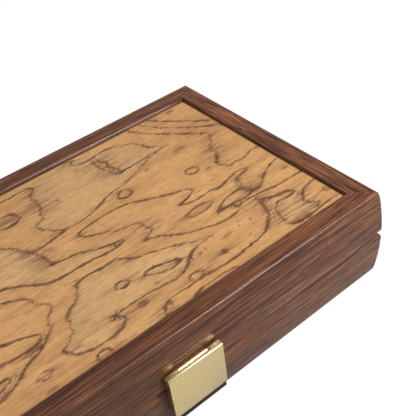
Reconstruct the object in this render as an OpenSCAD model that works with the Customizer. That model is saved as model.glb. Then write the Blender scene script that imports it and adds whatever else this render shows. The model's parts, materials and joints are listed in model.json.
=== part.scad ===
// Travel backgammon case: two shallow wooden trays hinged along one long side,
// a brass flap latch on the other, and thirty checkers and two dice stored inside.
// Origin: middle of the footprint, on the surface the closed case rests on.
// +X runs along the long side, the latch faces -Y and the hinges +Y, +Z is up.

/* [Case] */
// Overall length of the closed case over its bowed sides
case_l = 275; // [240:1:320]
// Overall width of the closed case over its bowed sides
case_w = 175; // [160:1:200]
// Height of one half of the case
half_h = 30; // [28:1:36]
// Thickness of the side walls at the seam
wall_t = 14; // [13:0.5:18]
// How far the sides bow outwards at the seam
crown = 2.2; // [1:0.1:3]
// Radius of the outer long edges of the case
edge_r = 1.4; // [0.8:0.1:2]
// Clear gap left between the two closed halves
seam_gap = 0.2; // [0.1:0.05:0.4]

/* [Seam groove] */
// Depth of the groove that runs round the seam
groove_d = 1.8; // [1:0.1:2.2]
// Height that each half gives to the groove
groove_h = 3; // [2:0.1:4]

/* [Boards] */
// How far the outer panel lies below the edge of its frame
panel_recess = 2.5; // [1.5:0.1:3.5]
// Thickness of the outer veneered panel
panel_t = 3; // [2.5:0.1:4]
// Thickness of the playing field board
field_t = 3; // [2.5:0.1:4]
// Length of one inlaid point
point_l = 108; // [90:1:112]
// Depth of the inlaid points
inlay_t = 0.6; // [0.4:0.1:1]

/* [Checkers and dice] */
// Diameter of a checker
checker_d = 23; // [20:0.5:23.5]
// Thickness of a checker
checker_h = 7.5; // [5:0.5:8]
// Edge length of a die
die_size = 10; // [8:0.5:11]

/* [Hinges] */
// Distance of each hinge's middle from the middle of the case
hinge_x = 85; // [60:1:95]
// Length of each hinge
hinge_l = 34; // [26:1:40]
// Outer radius of the hinge barrel
barrel_r = 2.4; // [2.2:0.1:2.6]
// Thickness of the hinge leaves
leaf_t = 1.2; // [1:0.1:1.6]

/* [Latch] */
// Width of the latch flap
flap_w = 32.4; // [28:0.1:36]
// Height of the top of the flap above the table
flap_top = 41.8; // [41:0.1:43]
// Height of the bottom of the flap above the table
flap_bottom = 12.8; // [11:0.1:14]
// Depth of the flap's front face in front of the bowed side
flap_reach = 4.5; // [4.3:0.1:5]
// Sheet thickness of the flap
flap_t = 0.9; // [0.7:0.1:1]

/* [Hidden] */
$fn = 64;
eps = 0.01;
case_h = 2 * half_h;
top_z = half_h - seam_gap / 2;
crown_r = (half_h * half_h + crown * crown) / (2 * crown);
panel_z = panel_recess;
field_z = panel_z + panel_t;
floor_z = field_z + field_t;
// The frame's inner lip reaches past the wall and rolls down to the panel.
lip_in = 15;
lip_w = 2.4;
board_in = 11.4;
board_gap = 0.1;
tray_l = case_l - 2 * wall_t;
tray_w = case_w - 2 * wall_t;
points_per_end = 6;
point_pitch = tray_w / points_per_end;
point_w = point_pitch - 1.2;
point_margin = 0.8;

// Checkers stand in rows of five, three rows at each end of the lower tray.
checkers_per_row = 5;
checkers_per_side = 15;
checker_pitch_y = tray_w / checkers_per_row;
checker_pitch_x = checker_d + 1.6;
checker_end_gap = 4;
checker_edge = 0.7;
dish_r = checker_d * 0.33;
dish_depth = 0.7;
die_gap = 17;
pip_r = 0.75;
pip_step = die_size * 0.26;

// Hinge line: outside the back wall, level with the seam.
hinge_y = case_w / 2 + flap_reach - barrel_r;
hinge_z = half_h;
pin_r = 1;
pin_fit = 0.05;
leaf_in = 9.5;
knuckle_gap = 0.2;
knuckle_mid = hinge_l * 0.4;
barrel_room = 0.25;
leaf_room = 0.05;
arm_end = 1.5;
arm_lap = 0.5;

// Screws: countersunk, with a straight shank.
screw_r = 1;
screw_head_r = 1.9;
screw_l = 9;
screw_room = 0.05;
hinge_screw_step = hinge_l * 0.33;

// Latch line: the flap hangs from a pin near its top edge.
flap_front = -(case_w / 2 + flap_reach);
knuckle_r = 1.2;
latch_pin_r = 0.55;
latch_pin_fit = 0.04;
latch_y = flap_front + 3.2;
latch_z = flap_top - knuckle_r;
flap_edge_r = 0.8;
barrel_half = 8.6;
barrel_clear = 0.3;
slot_front = latch_y - 1.6;
flange_back = -(case_w / 2 + 0.4);
flange_top = latch_z - knuckle_r - 0.5;
plate_t = 1;
plate_back = -(case_w / 2 - 0.6);
plate_front = plate_back - plate_t;
plate_half = 14;
plate_bottom = half_h + 2.5;
plate_top = latch_z - 1.9;
latch_screw_x = 9.5;
latch_screw_z = plate_bottom + 2.9;
catch_half = 12;
catch_bottom = 15;
catch_top = 25;
catch_back = -(case_w / 2 - 0.9);
catch_front = catch_back - plate_t;
rib_half = 6;
rib_z = 19;
rib_h = 1.6;
rib_front = catch_front - 1.4;
catch_screw_x = 9;
catch_screw_z = 20;
spring_t = 0.4;
spring_half = 5;
lip_half = 15.6;
lip_h = 3.8;

sides = ["front", "back", "left", "right"];
board_nodes = ["panel", "field", "points_light", "points_dark"];

dark_wood = "#4a2c20";
burl = "#c39a5d";
field_wood = "#6b3f27";
pale_wood = "#d9b98a";
deep_wood = "#3a2018";
brass = "#cdb57c";
steel = "#b9b9b5";
black = "#1b1b1d";
ivory = "#ece2cc";

// ---- Case rails -----------------------------------------------------------

// Distance of the bowed side from the outermost plane at height z.
function bow(z) = crown_r - sqrt(crown_r * crown_r - (half_h - z) * (half_h - z));

// Section of a lower rail: x is the distance in from the outermost plane.
bow_steps = 7;
arc_steps = 6;
groove_steps = 5;
function edge_arc() = [
    for (i = [0:arc_steps])
        let (a = 90 * i / arc_steps)
        [bow(0) + edge_r * (1 - sin(a)), edge_r * (1 - cos(a))]
];
function side_arc() = [
    for (i = [1:bow_steps])
        let (z = edge_r + (top_z - groove_h - edge_r) * i / bow_steps)
        [bow(z), z]
];
function groove_arc() = [
    for (i = [1:groove_steps])
        let (s = i / groove_steps, z = top_z - groove_h * (1 - s))
        [bow(z) + groove_d * pow(s, 1.7), z]
];
function lip_arc() = [
    for (i = [0:arc_steps])
        let (a = 90 * i / arc_steps)
        [lip_in - lip_w * (1 - cos(a)), panel_recess * (1 - sin(a))]
];
module rail_section() {
    polygon(concat(
        edge_arc(), side_arc(), groove_arc(),
        [[wall_t, top_z], [wall_t, floor_z], [board_in, floor_z], [board_in, panel_z]],
        lip_arc()
    ));
}

// A straight rail of the lower half along the front edge, mitred at both ends.
module mitred_rail(length, across) {
    intersection() {
        translate([-length / 2, -across / 2, 0])
            rotate([90, 0, 90])
                linear_extrude(length) rail_section();
        linear_extrude(half_h)
            polygon([
                [-length / 2, -across / 2], [length / 2, -across / 2],
                [length / 2 - lip_in - 1, -across / 2 + lip_in + 1],
                [-length / 2 + lip_in + 1, -across / 2 + lip_in + 1]
            ]);
    }
}
module rail(side) {
    if (side == "front") mitred_rail(case_l, case_w);
    if (side == "back") rotate([0, 0, 180]) mitred_rail(case_l, case_w);
    if (side == "left") rotate([0, 0, -90]) mitred_rail(case_w, case_l);
    if (side == "right") rotate([0, 0, 90]) mitred_rail(case_w, case_l);
}

// The upper half is the lower half turned over about the seam.
module flip() {
    translate([0, 0, case_h]) mirror([0, 0, 1]) children();
}

module hinge_places() {
    for (x = [-hinge_x, hinge_x]) translate([x, 0, 0]) children();
}
module hinge_screw_places() {
    hinge_places()
        for (i = [-1:1])
            translate([i * hinge_screw_step, case_w / 2 - leaf_in / 2 - groove_d, 0]) children();
}
// A countersunk screw pointing down from z = 0, grown by room on its radius.
module screw(room) {
    translate([0, 0, -screw_l]) cylinder(r = screw_r + room, h = screw_l);
    translate([0, 0, -(screw_head_r - screw_r)])
        cylinder(r1 = screw_r + room, r2 = screw_head_r + room, h = screw_head_r - screw_r);
}
// Room cut into a lower rail for its hinge leaves, barrels and screws.
module hinge_cuts() {
    hinge_places() {
        translate([-hinge_l / 2 - leaf_room, case_w / 2 - leaf_in - leaf_room, top_z - leaf_t])
            cube([hinge_l + 2 * leaf_room, leaf_in + 1, leaf_t + 1]);
        translate([-hinge_l / 2 - barrel_room, hinge_y, hinge_z])
            rotate([0, 90, 0])
                cylinder(r = barrel_r + barrel_room, h = hinge_l + 2 * barrel_room);
    }
    hinge_screw_places() translate([0, 0, top_z]) screw(screw_room);
}
module plate_screws(x, z, y, room) {
    for (s = [-1, 1]) translate([s * x, y, z]) rotate([90, 0, 0]) screw(room);
}

module base_rail(side) {
    color(dark_wood)
    difference() {
        rail(side);
        if (side == "back") hinge_cuts();
        if (side == "front") {
            translate([-catch_half - leaf_room, -case_w, catch_bottom - leaf_room])
                cube([2 * (catch_half + leaf_room), case_w + catch_back,
                      catch_top - catch_bottom + 2 * leaf_room]);
            plate_screws(catch_screw_x, catch_screw_z, catch_front, screw_room);
        }
    }
}
module lid_rail(side) {
    color(dark_wood)
    difference() {
        flip() rail(side);
        if (side == "back") flip() hinge_cuts();
        if (side == "front") {
            translate([-plate_half - leaf_room, -case_w, plate_bottom - leaf_room])
                cube([2 * (plate_half + leaf_room), case_w + plate_back,
                      plate_top - plate_bottom + 2 * leaf_room]);
            plate_screws(latch_screw_x, latch_screw_z, plate_front, screw_room);
        }
    }
}

// ---- Boards and inlaid points ---------------------------------------------

module board(z, t) {
    x = case_l - 2 * (board_in + board_gap);
    y = case_w - 2 * (board_in + board_gap);
    translate([-x / 2, -y / 2, z]) cube([x, y, t]);
}
// The points of one tone: every other one at each end, offset from end to end.
module points(tone) {
    for (turned = [0, 1], i = [0:points_per_end - 1])
        if (i % 2 == tone)
            rotate([0, 0, 180 * turned])
                translate([-tray_l / 2 + point_margin, -tray_w / 2 + (i + 0.5) * point_pitch,
                           floor_z - inlay_t])
                    linear_extrude(inlay_t)
                        polygon([[0, -point_w / 2], [0, point_w / 2], [point_l, 0]]);
}
module point_pockets() {
    translate([0, 0, eps]) points(0);
    points(0);
    translate([0, 0, eps]) points(1);
    points(1);
}
module panel() {
    color(burl) board(panel_z, panel_t);
}
module field() {
    color(field_wood)
    difference() {
        board(field_z, field_t);
        point_pockets();
    }
}
module points_light() { color(pale_wood) points(0); }
module points_dark() { color(deep_wood) points(1); }

// ---- Hinges ---------------------------------------------------------------

// One stretch of barrel along X from x0 to x1, bored for the pin.
module knuckle(x0, x1) {
    translate([x0, hinge_y, hinge_z])
        rotate([0, 90, 0])
            difference() {
                cylinder(r = barrel_r, h = x1 - x0);
                translate([0, 0, -1]) cylinder(r = pin_r + pin_fit, h = x1 - x0 + 2);
            }
}
// Flat arm let into the lower rail, ending inside the barrel's wall, from x0 to x1.
module leaf_arm(x0, x1) {
    start = case_w / 2 - groove_d - 1 - arm_lap;
    translate([x0, start, top_z - leaf_t])
        cube([x1 - x0, hinge_y - arm_end - start, leaf_t]);
}
module leaf_plate() {
    difference() {
        translate([-hinge_l / 2, case_w / 2 - leaf_in, top_z - leaf_t])
            cube([hinge_l, leaf_in - groove_d - 1, leaf_t]);
        for (i = [-1:1])
            translate([i * hinge_screw_step, case_w / 2 - leaf_in / 2 - groove_d, top_z])
                screw(screw_room);
    }
}
module hinge_leaves_base() {
    color(brass)
    hinge_places() {
        leaf_plate();
        for (side = [0, 1]) mirror([side, 0, 0]) {
            knuckle(knuckle_mid / 2 + knuckle_gap, hinge_l / 2);
            leaf_arm(knuckle_mid / 2 + knuckle_gap, hinge_l / 2);
        }
    }
}
module hinge_leaves_lid() {
    color(brass)
    hinge_places()
        flip() {
            leaf_plate();
            knuckle(-knuckle_mid / 2, knuckle_mid / 2);
            leaf_arm(-knuckle_mid / 2, knuckle_mid / 2);
        }
}
module hinge_pins() {
    color(steel)
    hinge_places()
        translate([-hinge_l / 2, hinge_y, hinge_z])
            rotate([0, 90, 0]) cylinder(r = pin_r, h = hinge_l);
}
module base_screws() {
    color(brass) {
        hinge_screw_places() translate([0, 0, top_z]) screw(0);
        plate_screws(catch_screw_x, catch_screw_z, catch_front, 0);
    }
}
module lid_screws() {
    color(brass) {
        flip() hinge_screw_places() translate([0, 0, top_z]) screw(0);
        plate_screws(latch_screw_x, latch_screw_z, plate_front, 0);
    }
}

// ---- Latch ----------------------------------------------------------------

// A stretch of latch barrel along X, bored for the latch pin.
module latch_knuckle(x0, x1) {
    translate([x0, latch_y, latch_z])
        rotate([0, 90, 0])
            difference() {
                cylinder(r = knuckle_r, h = x1 - x0);
                translate([0, 0, -1]) cylinder(r = latch_pin_r + latch_pin_fit, h = x1 - x0 + 2);
            }
}
// Plate on the lid: a tongue rises from it to the middle barrel.
module latch_plate() {
    color(brass)
    union() {
        difference() {
            translate([-plate_half, plate_front, plate_bottom])
                cube([2 * plate_half, plate_t, plate_top - plate_bottom]);
            plate_screws(latch_screw_x, latch_screw_z, plate_front, screw_room);
        }
        translate([-barrel_half, plate_front, plate_top - eps])
            cube([2 * barrel_half, plate_t * 0.6, latch_z - plate_top]);
        latch_knuckle(-barrel_half, barrel_half);
    }
}
module latch_pin() {
    color(steel)
    translate([-flap_w / 2 + 1, latch_y, latch_z])
        rotate([0, 90, 0]) cylinder(r = latch_pin_r, h = flap_w - 2);
}
// Section of the flap: x is depth, y is height. The front plate turns over its
// rounded top edge into a shelf, whose back end curls under round the pin.
shelf_z = flap_top - flap_t;
curl_steps = 20;
curl_from = 90;
curl_to = -160;
function edge_curl() = [
    for (i = [0:arc_steps])
        let (a = 180 - 90 * i / arc_steps)
        [flap_front + flap_edge_r * (1 + cos(a)), flap_top - flap_edge_r * (1 - sin(a))]
];
function pin_curl() = [
    for (i = [0:curl_steps])
        let (a = curl_from + (curl_to - curl_from) * i / curl_steps)
        [latch_y + knuckle_r * cos(a), latch_z + knuckle_r * sin(a)]
];
module flap_section() {
    polygon(concat(
        [[flap_front, flap_bottom]], edge_curl(), pin_curl(),
        [[latch_y - knuckle_r * 0.97, shelf_z], [flap_front + flap_t, shelf_z],
         [flap_front + flap_t, flap_bottom]]
    ));
}
module latch_flap() {
    flange_depth = flange_back - flap_front - flap_t;
    color(brass)
    union() {
        difference() {
            translate([-flap_w / 2, 0, 0])
                rotate([90, 0, 90]) linear_extrude(flap_w) flap_section();
            translate([-barrel_half - barrel_clear, slot_front, flap_top - 2 * knuckle_r - 1])
                cube([2 * (barrel_half + barrel_clear), 10, 2 * knuckle_r + 2]);
            translate([-flap_w, latch_y, latch_z])
                rotate([0, 90, 0]) cylinder(r = latch_pin_r + latch_pin_fit, h = 2 * flap_w);
        }
        for (side = [0, 1]) mirror([side, 0, 0])
            translate([flap_w / 2 - flap_t, flap_front + flap_t - eps, flap_bottom])
                cube([flap_t, flange_depth + eps, flange_top - flap_bottom]);
    }
}
// Bent strip inside the flap; its bump snaps under the rib of the catch.
module latch_spring() {
    back = flap_front + flap_t;
    color(steel)
    translate([-spring_half, 0, 0])
        rotate([90, 0, 90])
            linear_extrude(2 * spring_half)
                polygon([
                    [back, 34], [back, 22], [back + 0.8, 15.4], [back, 13.6],
                    [back + spring_t, 13.6], [back + 0.8 + spring_t, 15.4],
                    [back + spring_t, 22], [back + spring_t, 34]
                ]);
}
// Finger lip under the flap.
module latch_lip() {
    color(black)
    translate([-lip_half, flap_front + 0.15, flap_bottom - lip_h])
        cube([2 * lip_half, 1.5, lip_h]);
}
module latch_catch() {
    color(brass)
    difference() {
        union() {
            translate([-catch_half, catch_front, catch_bottom])
                cube([2 * catch_half, plate_t, catch_top - catch_bottom]);
            translate([-rib_half, rib_front, rib_z])
                cube([2 * rib_half, catch_front - rib_front + eps, rib_h]);
        }
        plate_screws(catch_screw_x, catch_screw_z, catch_front, screw_room);
    }
}

// ---- Checkers and dice ----------------------------------------------------

// Turned disc with eased edges and a shallow dish in each face.
module checker() {
    r = checker_d / 2;
    rotate_extrude()
        polygon([
            [0, dish_depth], [dish_r, dish_depth], [dish_r + dish_depth, 0],
            [r - checker_edge, 0], [r, checker_edge], [r, checker_h - checker_edge],
            [r - checker_edge, checker_h], [dish_r + dish_depth, checker_h],
            [dish_r, checker_h - dish_depth], [0, checker_h - dish_depth]
        ]);
}
// Place number i, counted from 0, at the left end (-1) or the right end (1).
module checker_place(i, end) {
    row = floor(i / checkers_per_row);
    column = i % checkers_per_row;
    x = tray_l / 2 - checker_end_gap - checker_d / 2 - row * checker_pitch_x;
    translate([end * x, (column - (checkers_per_row - 1) / 2) * checker_pitch_y, floor_z])
        children();
}
module checker_light(i) { color(pale_wood) checker_place(i, -1) checker(); }
module checker_dark(i) { color(deep_wood) checker_place(i, 1) checker(); }

// Pip places on one face for each count.
function pips(count) = concat(
    count % 2 == 1 ? [[0, 0]] : [],
    count > 1 ? [[-1, -1], [1, 1]] : [],
    count > 3 ? [[-1, 1], [1, -1]] : [],
    count == 6 ? [[-1, 0], [1, 0]] : []
);
module pip_face(count) {
    for (p = pips(count))
        translate([p[0] * pip_step, p[1] * pip_step, die_size / 2 + pip_r * 0.35]) sphere(r = pip_r);
}
// Cube with its corners rounded off by a ball; opposite faces add up to seven.
module die(x, turn) {
    color(ivory)
    translate([x, 0, floor_z + die_size / 2])
        rotate([0, 0, turn])
            difference() {
                intersection() {
                    cube(die_size, center = true);
                    sphere(r = die_size * 0.72);
                }
                pip_face(1);
                rotate([180, 0, 0]) pip_face(6);
                rotate([90, 0, 0]) pip_face(2);
                rotate([-90, 0, 0]) pip_face(5);
                rotate([0, 90, 0]) pip_face(3);
                rotate([0, -90, 0]) pip_face(4);
            }
}

// ---- Assembly -------------------------------------------------------------

for (side = sides) {
    base_rail(side);
    lid_rail(side);
}
panel();  // base_panel
field();  // base_field
points_light();  // base_points_light
points_dark();  // base_points_dark
flip() panel();  // lid_panel
flip() field();  // lid_field
flip() points_light();  // lid_points_light
flip() points_dark();  // lid_points_dark
hinge_leaves_base();
hinge_leaves_lid();
hinge_pins();
base_screws();
lid_screws();
latch_plate();
latch_pin();
latch_flap();
latch_spring();
latch_lip();
latch_catch();
die(-die_gap / 2, 20);  // die_1
die(die_gap / 2, -35);  // die_2
for (i = [0:checkers_per_side - 1]) {
    checker_light(i);
    checker_dark(i);
}
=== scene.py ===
"""Looks of the travel backgammon case: wood, burl veneer, brass and game pieces."""
import json
import math

import bmesh
import bpy
import numpy as np
from mathutils import Matrix, Vector


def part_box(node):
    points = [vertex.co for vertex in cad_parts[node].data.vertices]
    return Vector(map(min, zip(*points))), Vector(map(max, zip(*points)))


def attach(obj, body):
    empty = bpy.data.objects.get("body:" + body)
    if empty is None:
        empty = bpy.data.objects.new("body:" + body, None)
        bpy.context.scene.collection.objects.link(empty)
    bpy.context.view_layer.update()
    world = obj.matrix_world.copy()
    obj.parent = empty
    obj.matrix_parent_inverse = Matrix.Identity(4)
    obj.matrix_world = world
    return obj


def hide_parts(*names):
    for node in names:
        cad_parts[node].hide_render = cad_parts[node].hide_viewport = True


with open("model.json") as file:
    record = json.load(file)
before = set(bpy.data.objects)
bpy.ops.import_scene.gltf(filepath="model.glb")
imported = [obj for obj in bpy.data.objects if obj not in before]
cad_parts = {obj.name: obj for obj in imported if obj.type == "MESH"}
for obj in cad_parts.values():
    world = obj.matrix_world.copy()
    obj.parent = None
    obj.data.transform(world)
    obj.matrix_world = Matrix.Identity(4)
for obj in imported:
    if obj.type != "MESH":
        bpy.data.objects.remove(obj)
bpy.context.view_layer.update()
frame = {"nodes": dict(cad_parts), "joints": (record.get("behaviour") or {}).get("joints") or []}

MM = 0.001
SIDES = ("front", "back", "left", "right")
HALVES = ("base", "lid")
JOINTS = {joint["name"]: joint for joint in frame["joints"]}
HINGE_AXIS = Vector(JOINTS["case_lid_hinge"]["pos_m"])
LATCH_PIN = Vector(JOINTS["case_latch_flap"]["pos_m"])

# ---- Sizes of the case ------------------------------------------------------

CASE_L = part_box("base_rail_right")[1].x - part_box("base_rail_left")[0].x
CASE_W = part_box("base_rail_back")[1].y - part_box("base_rail_front")[0].y
CASE_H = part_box("lid_rail_front")[1].z
HALF_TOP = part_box("base_rail_front")[1].z
SEAM_Z = {"base": HALF_TOP, "lid": CASE_H - HALF_TOP}
PANEL_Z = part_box("base_panel")[0].z
FIELD_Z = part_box("base_field")[1].z
PANEL_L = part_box("base_panel")[1].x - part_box("base_panel")[0].x
PANEL_PLAY = 0.1 * MM
# A rail's section: the rebate for the boards and the wall above it, as depths in from the
# outermost plane, with the wall's eased rim; the bow of the sides; the rounded outer edge;
# half of the seam's groove; the cove that runs down to the panel; and the fine V at the
# mitres, as half its width and its depth.
BOARD_IN = (CASE_L - PANEL_L) / 2 - PANEL_PLAY
WALL_T = 14 * MM
RIM_EASE = 0.4 * MM
CROWN = 2.2 * MM
EDGE_R = 1.6 * MM
GROOVE_D = 1.8 * MM
GROOVE_H = 3 * MM
GROOVE_CURVE = 1.7
LIP_IN = 15 * MM
LIP_W = 2.4 * MM
MITRE_HALF_W = 0.2 * MM
MITRE_D = 0.1 * MM


# ---- Shader helpers ---------------------------------------------------------

class Shader:
    """A material's node tree, with short calls for the nodes used here."""

    def __init__(self, name):
        self.material = bpy.data.materials.new(name)
        self.material.use_nodes = True
        self.tree = self.material.node_tree
        self.surface = self.tree.nodes["Principled BSDF"]

    def node(self, kind, *inputs, **settings):
        node = self.tree.nodes.new(kind)
        for key, value in settings.items():
            setattr(node, key, value)
        for index, value in enumerate(inputs):
            self.put(node.inputs[index], value)
        return node

    def put(self, socket, value):
        if isinstance(value, bpy.types.NodeSocket):
            self.tree.links.new(value, socket)
        elif value is not None:
            socket.default_value = value

    def set(self, **sockets):
        """Sets the surface's own sockets, named with _ for each space."""
        for name, value in sockets.items():
            self.put(self.surface.inputs[name.replace("_", " ")], value)

    def math(self, operation, *values, clamp=False):
        node = self.node("ShaderNodeMath", *values, operation=operation)
        node.use_clamp = clamp
        return node.outputs[0]

    def times(self, first, second):
        return self.math("MULTIPLY", first, second)

    def linear(self, value, factor, offset):
        return self.math("MULTIPLY_ADD", value, factor, offset)

    def place(self, scale=(1, 1, 1), offset=(0, 0, 0)):
        """Object coordinates in metres, multiplied by scale and then moved by offset."""
        source = self.node("ShaderNodeTexCoord").outputs["Object"]
        return self.node("ShaderNodeMapping", source, offset, None, scale).outputs[0]

    def noise(self, vector, scale=1.0, detail=2.0, rough=0.5):
        node = self.node("ShaderNodeTexNoise")
        self.put(node.inputs["Vector"], vector)
        node.inputs["Scale"].default_value = scale
        node.inputs["Detail"].default_value = detail
        node.inputs["Roughness"].default_value = rough
        return node.outputs["Fac"]

    def noise_vector(self, vector, scale, amount):
        """A vector wandering by about amount around zero."""
        node = self.node("ShaderNodeTexNoise")
        self.put(node.inputs["Vector"], vector)
        node.inputs["Scale"].default_value = scale
        centred = self.vector("SUBTRACT", node.outputs["Color"], (0.5, 0.5, 0.5))
        return self.vector("MULTIPLY", centred, (amount, amount, amount))

    def vector(self, operation, first, second):
        return self.node("ShaderNodeVectorMath", first, second, operation=operation).outputs[0]

    def step(self, value, low, high):
        """0 below low and 1 above high, smooth between; falls where low > high."""
        node = self.node("ShaderNodeMapRange", interpolation_type="SMOOTHSTEP")
        ends = (low, high, 0.0, 1.0) if low < high else (high, low, 1.0, 0.0)
        self.put(node.inputs["Value"], value)
        for socket, number in zip(("From Min", "From Max", "To Min", "To Max"), ends):
            node.inputs[socket].default_value = number
        return node.outputs["Result"]

    def ramp(self, value, *stops):
        node = self.node("ShaderNodeValToRGB", value)
        elements = node.color_ramp.elements
        while len(elements) < len(stops):
            elements.new(1.0)
        for element, (position, colour) in zip(elements, stops):
            element.position = position
            element.color = (*colour, 1.0)
        return node.outputs["Color"]

    def mix(self, share, first, second):
        node = self.node("ShaderNodeMix", data_type="RGBA")
        self.put(node.inputs["Factor"], share)
        self.put(node.inputs[6], rgba(first))
        self.put(node.inputs[7], rgba(second))
        return node.outputs[2]

    def attribute(self, name):
        return self.node("ShaderNodeAttribute", attribute_name=name).outputs["Fac"]

    def bump(self, height, strength, distance):
        node = self.node("ShaderNodeBump")
        node.inputs["Strength"].default_value = strength
        node.inputs["Distance"].default_value = distance
        self.put(node.inputs["Height"], height)
        self.put(self.surface.inputs["Normal"], node.outputs[0])


def rgba(colour):
    if isinstance(colour, bpy.types.NodeSocket):
        return colour
    return (*colour, 1.0)


# ---- Materials --------------------------------------------------------------
# Noise scales are in cells a metre; the figure's attributes are in millimetres.

# Wood tones: the dark pores, the body of the wood, and its light fibres.
FRAME_TONES = ((0.03, 0.0105, 0.0055), (0.12, 0.044, 0.0215), (0.28, 0.101, 0.04))
FIELD_TONES = ((0.12, 0.05, 0.025), (0.2, 0.09, 0.045), (0.3, 0.15, 0.08))
PALE_POINT_TONES = ((0.42, 0.26, 0.12), (0.6, 0.41, 0.21), (0.7, 0.52, 0.3))
DARK_POINT_TONES = ((0.016, 0.008, 0.006), (0.04, 0.019, 0.012), (0.075, 0.036, 0.022))
PALE_CHECKER_TONES = ((0.38, 0.22, 0.09), (0.58, 0.38, 0.18), (0.68, 0.5, 0.27))
DARK_CHECKER_TONES = ((0.014, 0.007, 0.005), (0.045, 0.02, 0.012), (0.09, 0.04, 0.022))
# Where the shade painted on the frame's wood, standing in for light falling off towards -X, starts to
# darken it, and where it is darkest, along X.
PAINTED_SHADE_FROM = 110 * MM
PAINTED_SHADE_TO = -100 * MM


def straight_wood(name, along, tones, gloss=0.34, seed=0.0, painted_falloff=False):
    """Straight-grained lacquered hardwood; along is 0 for grain on X, 1 for Y.

    With painted_falloff, shade is painted in: the boards are darker towards -X, standing in for light
    that falls off there."""
    dark, middle, light = tones
    shader = Shader(name)
    spot = shader.place(offset=(seed, seed * 0.7, seed * 0.3))
    spot = shader.vector("ADD", spot, shader.noise_vector(spot, 14.0, 1.6 * MM))

    def stretched(across, lengthways):
        """The spot, scaled to so many noise cells a metre across and along the grain."""
        factors = [across] * 3
        factors[along] = lengthways
        return shader.vector("MULTIPLY", spot, factors)

    bands = shader.noise(stretched(330, 8), rough=0.6)
    fibres = shader.noise(stretched(1750, 26), detail=3.0, rough=0.68)
    pores = shader.noise(stretched(1900, 60), detail=1.0)
    tone = shader.linear(fibres, 0.8, shader.times(bands, 0.2))
    colour = shader.ramp(tone, (0.4, dark), (0.5, middle), (0.61, light))
    pore = shader.step(pores, 0.57, 0.66)
    colour = shader.mix(shader.times(pore, 0.8), colour, dark)
    # Painted shade: the colour darkens towards -X, standing in for light falling off along the case.
    if painted_falloff:
        reach = shader.node("ShaderNodeSeparateXYZ", shader.place()).outputs[0]
        depth = shader.step(reach, PAINTED_SHADE_FROM, PAINTED_SHADE_TO)
        colour = shader.mix(depth, colour, shader.mix(0.5, colour, dark))
    shader.set(Base_Color=colour, Specular_IOR_Level=0.12, Coat_Weight=0.29, Coat_Roughness=0.2,
               Roughness=shader.linear(fibres, 0.2, gloss - 0.1))
    height = shader.math("SUBTRACT", fibres, shader.times(pore, 0.6))
    shader.bump(height, 0.4, 0.15 * MM)
    return shader.material


# Burl tones: the golden ground, as noise levels and colours; the paler islands, from dark to light; and
# what is laid over them, the last being shade painted along the panel's rim, where the frame meets it.
BURL_GROUND = ((0.3, (0.42, 0.213, 0.075)), (0.5, (0.5, 0.265, 0.1)), (0.72, (0.57, 0.312, 0.124)))
BURL_ISLAND = ((0.49, 0.305, 0.134), (0.565, 0.363, 0.17))
BURL_GREY = (0.3, 0.22, 0.125)
BURL_FIBRE = (0.3, 0.15, 0.06)
BURL_PORE = (0.33, 0.16, 0.062)
BURL_STAIN = (0.19, 0.085, 0.042)
BURL_LINE = (0.085, 0.034, 0.016)
BURL_SHADOW = (0.12, 0.055, 0.018)


def figure_line(shader, spot, strokes):
    """How strongly the dark figure line covers each spot.

    The line is pushed about along the grain, so that its edges fray into strokes."""
    push = shader.linear(strokes, 9.0, -4.5)
    side = shader.linear(shader.attribute("figure_lean"), push, shader.attribute("figure_side"))
    wobble = shader.linear(shader.noise(spot, 300.0, 3.0, 0.6), 2.2, -1.1)
    side = shader.math("ABSOLUTE", shader.math("ADD", side, wobble))
    width = shader.linear(shader.noise(spot, 130.0), 2.9, -0.62)
    width = shader.linear(shader.attribute("figure_smudge"), 0.8, width)
    core = shader.math("SUBTRACT", 1.0, shader.math("DIVIDE", side, width), clamp=True)
    near = shader.step(shader.attribute("figure_near"), 3.6, 2.2)
    line = shader.times(shader.math("POWER", core, 0.45), near)
    faint = shader.noise(shader.place(offset=(0.5, 0.2, 0)), 75.0)
    return shader.math("MULTIPLY", line, shader.linear(faint, 1.25, 0.37), clamp=True)


def figure_stain(shader, spot, strokes, streaks):
    """How strongly brown covers each spot: it bleeds from the lines, and fills smudges."""
    patches = shader.noise(shader.place((14, 22, 20), offset=(0.3, 0.1, 0)))
    bleed = shader.step(shader.attribute("figure_bleed"), 2.7, 0.1)
    stain = shader.times(bleed, shader.step(streaks, 0.42, 0.6))
    stain = shader.times(stain, shader.step(patches, 0.28, 0.52))
    torn = shader.linear(strokes, 3.4, -1.7)
    torn = shader.math("ADD", torn, shader.linear(shader.noise(spot, 240.0), 0.9, -0.45))
    smudge = shader.step(shader.math("ADD", shader.attribute("figure_smudge"), torn), 0.25, 0.7)
    return shader.math("MAXIMUM", shader.times(stain, 0.8), shader.times(smudge, 0.85))


def burl_ground(shader, fibres, streaks):
    """The plain veneer: golden, with paler islands that turn grey near their lines."""
    grain = shader.noise(shader.place((20, 210, 200)), detail=3.0)
    ground = shader.ramp(grain, *BURL_GROUND)
    pale = shader.attribute("figure_pale")
    ground = shader.mix(shader.times(pale, 0.42), ground, shader.mix(grain, *BURL_ISLAND))
    rim = shader.step(shader.attribute("figure_bleed"), 3.4, 0.8)
    grey = shader.linear(rim, 0.38, 0.05)
    grey = shader.times(grey, shader.step(streaks, 0.36, 0.64))
    ground = shader.mix(shader.times(grey, pale), ground, BURL_GREY)
    fibre = shader.times(shader.step(fibres, 0.5, 0.64), 0.4)
    ground = shader.mix(fibre, ground, BURL_FIBRE)
    pores = shader.noise(shader.place((230, 1250, 300), offset=(0.2, 0.4, 0)), detail=3.0, rough=0.7)
    return shader.mix(shader.times(shader.step(pores, 0.47, 0.63), 0.42), ground, BURL_PORE)


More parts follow.
